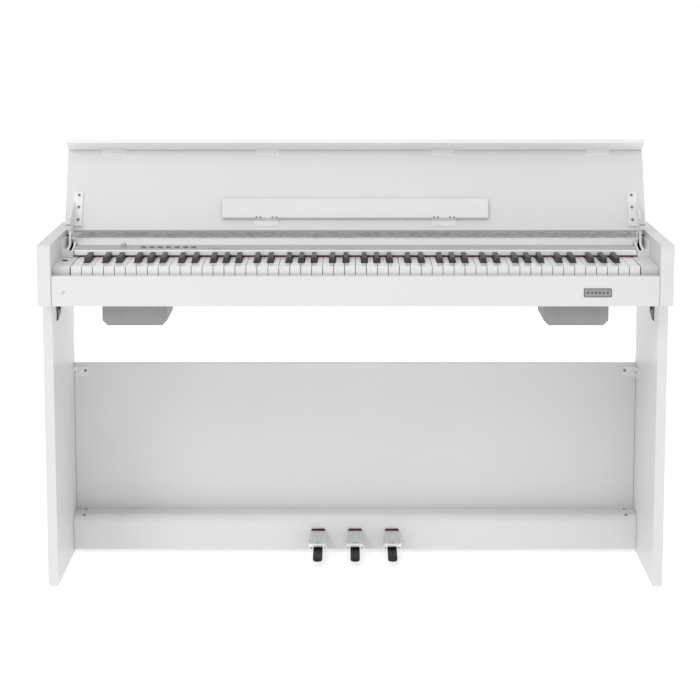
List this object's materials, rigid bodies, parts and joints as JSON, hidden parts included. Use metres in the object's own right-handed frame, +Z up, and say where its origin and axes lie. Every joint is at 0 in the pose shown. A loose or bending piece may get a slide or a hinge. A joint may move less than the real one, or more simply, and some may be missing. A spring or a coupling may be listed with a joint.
{
  "type": "digital piano on stand",
  "caption": "White upright-style digital piano on a panel stand, with its hinged lid open, a flap at the lid's edge, a folded music rest, keyboard, controls and foot pedals.",
  "frame": {"origin": "on the floor, under the middle of the whole piano", "axes": "+X to the player's right, +Y to the back, +Z up"},
  "size_m": [1.362, 0.412, 0.9751],
  "materials": {
    "cabinet": "white satin foil on board",
    "white_plastic": "satin white moulding",
    "bracket_metal": "white powder coat",
    "panel_silver": "satin silver-white paint",
    "grille_silver": "perforated sheet, satin silver paint",
    "hood_silver": "satin silver",
    "key_white": "semi-gloss",
    "key_black": "matte, fine lengthwise grain",
    "black_plastic": "satin",
    "grey_plastic": "fine moulded texture",
    "felt_red": "pressed felt",
    "circuit_board": "solder mask"
  },
  "bodies": {
    "root": {"end_block_left": "cabinet", "end_block_right": "cabinet", "side_panel_left": "cabinet", "side_panel_right": "cabinet", "key_bed": "cabinet", "front_rail": "cabinet", "rear_panel": "cabinet", "rear_deck": "cabinet", "kick_panel": "cabinet", "cheek_block_left": "cabinet", "cheek_block_right": "cabinet", "pedal_box": "cabinet", "end_liner_left": "white_plastic", "end_liner_right": "white_plastic", "control_panel": "panel_silver", "speaker_grille": "grille_silver", "key_felt": "felt_red", "key_frame": "grey_plastic", "jack_plate": "black_plastic", "main_board": "circuit_board", "pedal_frame": "grey_plastic", "speaker_box_left": "grey_plastic", "speaker_box_right": "grey_plastic", "speaker_driver_left": "black_plastic", "speaker_driver_right": "black_plastic", "pedal_hood_left": "hood_silver", "pedal_hood_middle": "hood_silver", "pedal_hood_right": "hood_silver"},
    "lid": {"lid_panel": "cabinet", "lid_bracket_left": "bracket_metal", "lid_bracket_right": "bracket_metal"},
    "flap": {"lid_flap": "cabinet"},
    "rest_ledge": {"music_rest": "cabinet"},
    "knob": {"volume_knob": "panel_silver"},
    "button_1": {"button_1": "grey_plastic"},
    "button_2": {"button_2": "grey_plastic"},
    "button_3": {"button_3": "grey_plastic"},
    "button_4": {"button_4": "grey_plastic"},
    "button_5": {"button_5": "grey_plastic"},
    "button_6": {"button_6": "grey_plastic"},
    "button_7": {"button_7": "grey_plastic"},
    "pedal_left": {"pedal_left": "black_plastic"},
    "pedal_middle": {"pedal_middle": "black_plastic"},
    "pedal_right": {"pedal_right": "black_plastic"},
    "white_c4": {"key_white_c4": "key_white"},
    "white_d4": {"key_white_d4": "key_white"},
    "white_e4": {"key_white_e4": "key_white"},
    "white_f4": {"key_white_f4": "key_white"},
    "white_g4": {"key_white_g4": "key_white"},
    "white_a4": {"key_white_a4": "key_white"},
    "white_b4": {"key_white_b4": "key_white"},
    "black_cs4": {"key_black_cs4": "key_black"},
    "black_ds4": {"key_black_ds4": "key_black"},
    "black_fs4": {"key_black_fs4": "key_black"},
    "black_gs4": {"key_black_gs4": "key_black"},
    "black_as4": {"key_black_as4": "key_black"},
    "whites_low": {"keys_white_low": "key_white"},
    "whites_high": {"keys_white_high": "key_white"},
    "blacks_low": {"keys_black_low": "key_black"},
    "blacks_high": {"keys_black_high": "key_black"}
  },
  "joints": [
    {"name": "lid_hinge", "type": "hinge", "parent": "root", "child": "lid", "pos_m": [0, 0.018, 0.7666], "axis": [1, 0, 0], "range_deg": [0, 117.1]},
    {"name": "flap_hinge", "type": "hinge", "parent": "lid", "child": "flap", "pos_m": [0, 0.10196, 0.94735], "axis": [-1, 0, 0], "range_deg": [-80, 0]},
    {"name": "music_rest_hinge", "type": "hinge", "parent": "lid", "child": "rest_ledge", "pos_m": [0, 0.02335, 0.79812], "axis": [-1, 0, 0], "range_deg": [-90, 0]},
    {"name": "knob_turn", "type": "hinge", "parent": "root", "child": "knob", "pos_m": [-0.516, 0.001, 0.73864], "axis": [0, -0.0902, 0.9959], "range_deg": [-135, 135]},
    {"name": "button_1_press", "type": "slide", "parent": "root", "child": "button_1", "axis": [0, 0.0902, -0.9959], "range_m": [0, 0.0015], "stiffness_N_per_m": 300, "springref_m": -0.001},
    {"name": "button_2_press", "type": "slide", "parent": "root", "child": "button_2", "axis": [0, 0.0902, -0.9959], "range_m": [0, 0.0015], "stiffness_N_per_m": 300, "springref_m": -0.001},
    {"name": "button_3_press", "type": "slide", "parent": "root", "child": "button_3", "axis": [0, 0.0902, -0.9959], "range_m": [0, 0.0015], "stiffness_N_per_m": 300, "springref_m": -0.001},
    {"name": "button_4_press", "type": "slide", "parent": "root", "child": "button_4", "axis": [0, 0.0902, -0.9959], "range_m": [0, 0.0015], "stiffness_N_per_m": 300, "springref_m": -0.001},
    {"name": "button_5_press", "type": "slide", "parent": "root", "child": "button_5", "axis": [0, 0.0902, -0.9959], "range_m": [0, 0.0015], "stiffness_N_per_m": 300, "springref_m": -0.001},
    {"name": "button_6_press", "type": "slide", "parent": "root", "child": "button_6", "axis": [0, 0.0902, -0.9959], "range_m": [0, 0.0015], "stiffness_N_per_m": 300, "springref_m": -0.001},
    {"name": "button_7_press", "type": "slide", "parent": "root", "child": "button_7", "axis": [0, 0.0902, -0.9959], "range_m": [0, 0.0015], "stiffness_N_per_m": 300, "springref_m": -0.001},
    {"name": "pedal_left_press", "type": "hinge", "parent": "root", "child": "pedal_left", "pos_m": [0, 0.166, 0.019], "axis": [1, 0, 0], "range_deg": [0, 3.3], "stiffness_Nm_per_rad": 4, "springref_deg": -8.59},
    {"name": "pedal_middle_press", "type": "hinge", "parent": "root", "child": "pedal_middle", "pos_m": [0, 0.166, 0.019], "axis": [1, 0, 0], "range_deg": [0, 3.3], "stiffness_Nm_per_rad": 4, "springref_deg": -8.59},
    {"name": "pedal_right_press", "type": "hinge", "parent": "root", "child": "pedal_right", "pos_m": [0, 0.166, 0.019], "axis": [1, 0, 0], "range_deg": [0, 3.3], "stiffness_Nm_per_rad": 4, "springref_deg": -8.59},
    {"name": "white_c4_press", "type": "hinge", "parent": "root", "child": "white_c4", "pos_m": [0, 0.026, 0.704], "axis": [1, 0, 0], "range_deg": [0, 2.8], "stiffness_Nm_per_rad": 0.7, "springref_deg": -17.19},
    {"name": "white_d4_press", "type": "hinge", "parent": "root", "child": "white_d4", "pos_m": [0, 0.026, 0.704], "axis": [1, 0, 0], "range_deg": [0, 2.8], "stiffness_Nm_per_rad": 0.7, "springref_deg": -17.19},
    {"name": "white_e4_press", "type": "hinge", "parent": "root", "child": "white_e4", "pos_m": [0, 0.026, 0.704], "axis": [1, 0, 0], "range_deg": [0, 2.8], "stiffness_Nm_per_rad": 0.7, "springref_deg": -17.19},
    {"name": "white_f4_press", "type": "hinge", "parent": "root", "child": "white_f4", "pos_m": [0, 0.026, 0.704], "axis": [1, 0, 0], "range_deg": [0, 2.8], "stiffness_Nm_per_rad": 0.7, "springref_deg": -17.19},
    {"name": "white_g4_press", "type": "hinge", "parent": "root", "child": "white_g4", "pos_m": [0, 0.026, 0.704], "axis": [1, 0, 0], "range_deg": [0, 2.8], "stiffness_Nm_per_rad": 0.7, "springref_deg": -17.19},
    {"name": "white_a4_press", "type": "hinge", "parent": "root", "child": "white_a4", "pos_m": [0, 0.026, 0.704], "axis": [1, 0, 0], "range_deg": [0, 2.8], "stiffness_Nm_per_rad": 0.7, "springref_deg": -17.19},
    {"name": "white_b4_press", "type": "hinge", "parent": "root", "child": "white_b4", "pos_m": [0, 0.026, 0.704], "axis": [1, 0, 0], "range_deg": [0, 2.8], "stiffness_Nm_per_rad": 0.7, "springref_deg": -17.19},
    {"name": "black_cs4_press", "type": "hinge", "parent": "root", "child": "black_cs4", "pos_m": [0, 0.026, 0.7155], "axis": [1, 0, 0], "range_deg": [0, 3], "stiffness_Nm_per_rad": 0.3, "springref_deg": -17.19},
    {"name": "black_ds4_press", "type": "hinge", "parent": "root", "child": "black_ds4", "pos_m": [0, 0.026, 0.7155], "axis": [1, 0, 0], "range_deg": [0, 3], "stiffness_Nm_per_rad": 0.3, "springref_deg": -17.19},
    {"name": "black_fs4_press", "type": "hinge", "parent": "root", "child": "black_fs4", "pos_m": [0, 0.026, 0.7155], "axis": [1, 0, 0], "range_deg": [0, 3], "stiffness_Nm_per_rad": 0.3, "springref_deg": -17.19},
    {"name": "black_gs4_press", "type": "hinge", "parent": "root", "child": "black_gs4", "pos_m": [0, 0.026, 0.7155], "axis": [1, 0, 0], "range_deg": [0, 3], "stiffness_Nm_per_rad": 0.3, "springref_deg": -17.19},
    {"name": "black_as4_press", "type": "hinge", "parent": "root", "child": "black_as4", "pos_m": [0, 0.026, 0.7155], "axis": [1, 0, 0], "range_deg": [0, 3], "stiffness_Nm_per_rad": 0.3, "springref_deg": -17.19},
    {"name": "whites_low_press", "type": "hinge", "parent": "root", "child": "whites_low", "pos_m": [0, 0.026, 0.704], "axis": [1, 0, 0], "range_deg": [0, 2.8], "stiffness_Nm_per_rad": 16, "springref_deg": -17.19},
    {"name": "blacks_low_press", "type": "hinge", "parent": "root", "child": "blacks_low", "pos_m": [0, 0.026, 0.7155], "axis": [1, 0, 0], "range_deg": [0, 3], "stiffness_Nm_per_rad": 5, "springref_deg": -17.19},
    {"name": "whites_high_press", "type": "hinge", "parent": "root", "child": "whites_high", "pos_m": [0, 0.026, 0.704], "axis": [1, 0, 0], "range_deg": [0, 2.8], "stiffness_Nm_per_rad": 16, "springref_deg": -17.19},
    {"name": "blacks_high_press", "type": "hinge", "parent": "root", "child": "blacks_high", "pos_m": [0, 0.026, 0.7155], "axis": [1, 0, 0], "range_deg": [0, 3], "stiffness_Nm_per_rad": 5, "springref_deg": -17.19}
  ]
}
